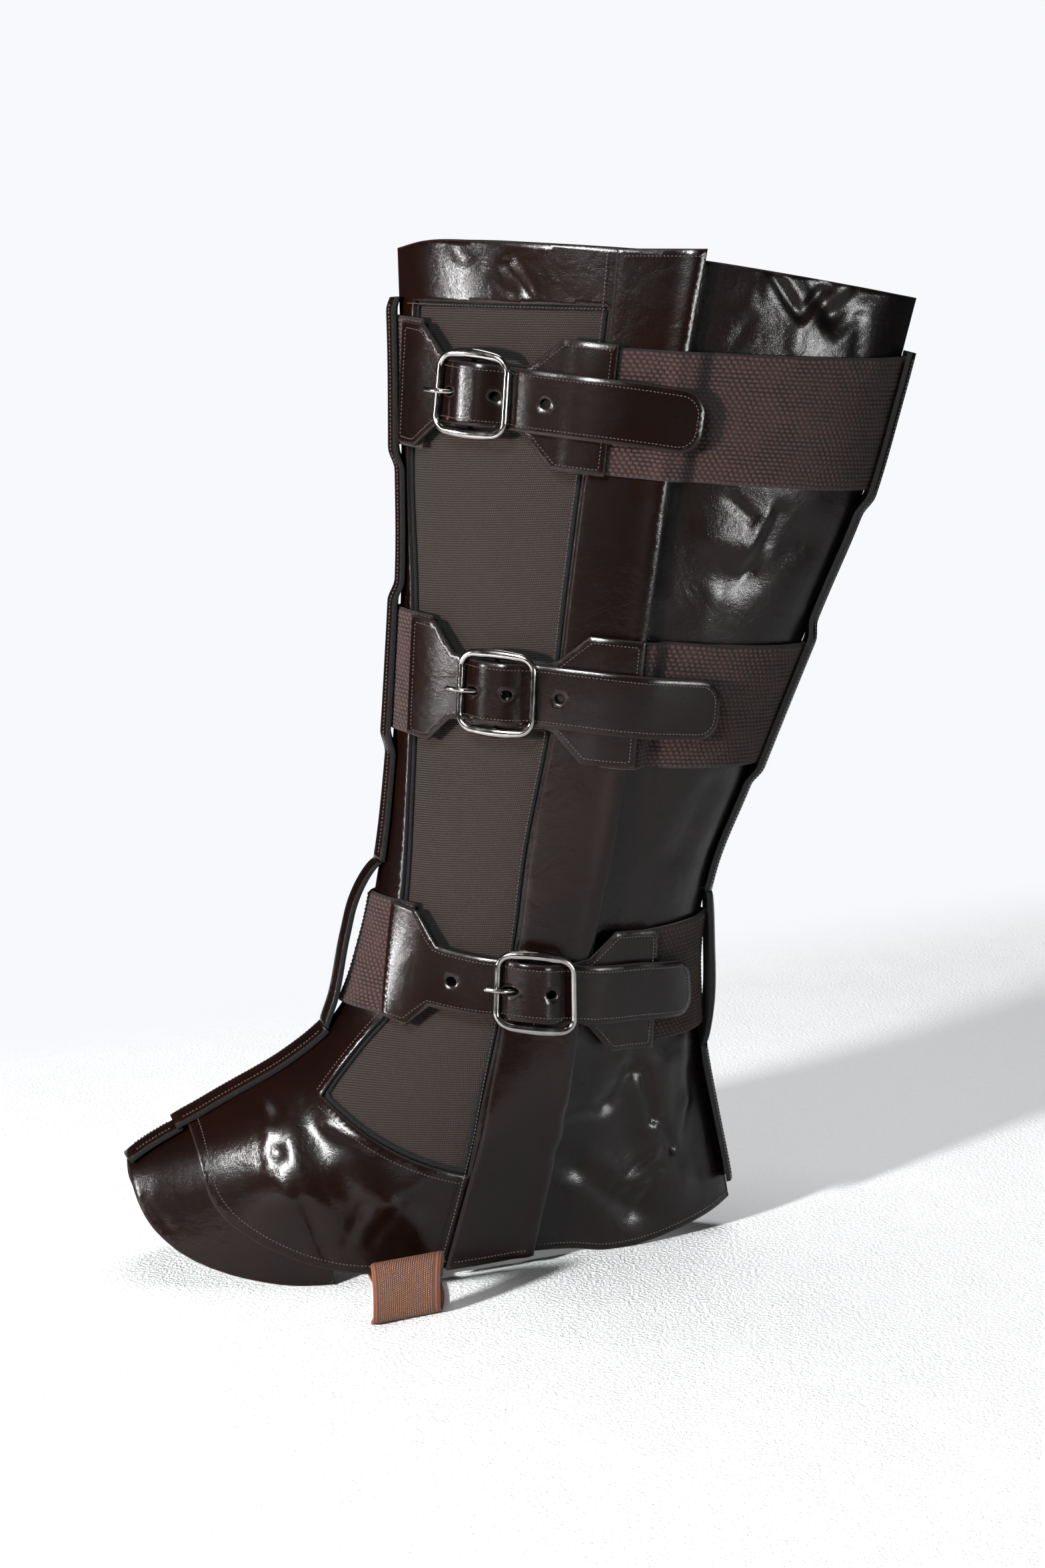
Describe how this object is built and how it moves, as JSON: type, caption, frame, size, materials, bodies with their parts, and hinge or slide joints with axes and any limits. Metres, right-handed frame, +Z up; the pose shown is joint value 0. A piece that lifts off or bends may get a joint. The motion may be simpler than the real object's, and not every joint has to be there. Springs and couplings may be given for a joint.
{
  "type": "boot cover",
  "caption": "Knee-high leather boot cover with a canvas side window, webbing straps with centre-bar buckles, and an elastic stirrup; one of a pair, standing empty.",
  "frame": {"origin": "middle of the bottom face of the bounding box, on the floor that the cover stands on", "axes": "+Z up along the leg; -X towards the toe; -Y towards the outer side, with the buckles"},
  "size_m": [0.3208, 0.1596, 0.4153],
  "materials": {
    "leather": "glossy, finely grained, very dark brown, with raw black edges",
    "canvas": "matt ribbed canvas",
    "webbing": "matt basket-weave webbing",
    "elastic": "matt ribbed elastic",
    "buckle_metal": "polished, slightly dark nickel"
  },
  "bodies": {
    "root": {"toe_lateral": "leather", "vamp_lateral": "leather", "canvas_window": "canvas", "placket": "leather", "quarter_lateral": "leather", "toe_medial": "leather", "vamp_medial": "leather", "quarter_medial": "leather", "shin_strip": "leather", "ankle_loop_front": "leather", "instep_strip": "leather", "toe_strip": "leather", "back_strip": "leather", "ankle_loop_back": "leather", "heel_strip": "leather", "webbing_upper": "webbing", "webbing_middle": "webbing", "webbing_lower": "webbing", "tongue_upper": "leather", "tongue_middle": "leather", "tongue_lower": "leather", "back_tab_upper": "leather", "back_tab_middle": "leather", "back_tab_lower": "leather", "buckle_upper": "buckle_metal", "buckle_middle": "buckle_metal", "buckle_lower": "buckle_metal", "prong_upper": "buckle_metal", "prong_middle": "buckle_metal", "prong_lower": "buckle_metal", "stirrup": "elastic"}
  },
  "joints": []
}
